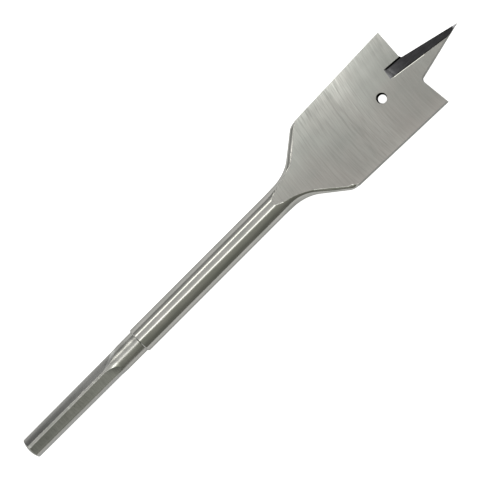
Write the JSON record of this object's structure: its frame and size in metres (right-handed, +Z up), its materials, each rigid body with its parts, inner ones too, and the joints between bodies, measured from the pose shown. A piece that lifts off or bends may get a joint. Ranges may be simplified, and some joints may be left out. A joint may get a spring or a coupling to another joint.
{
  "type": "spade drill bit",
  "caption": "Flat spade drill bit with a long grooved centre point, cutting lips and a small hole in the blade, forged on a round shaft with a flatted shank.",
  "frame": {"origin": "midway along the bit, below its axis, on the surface that it lies on", "axes": "+X along the axis towards the point, +Y across the blade towards its lower corner, +Z up from the surface that it lies on"},
  "size_m": [0.154, 0.0254, 0.0072],
  "materials": {
    "steel": "bare tool steel, ground across the blade's faces and drawn bright on the shaft"
  },
  "bodies": {
    "root": {"spade_bit": "steel"}
  },
  "joints": []
}
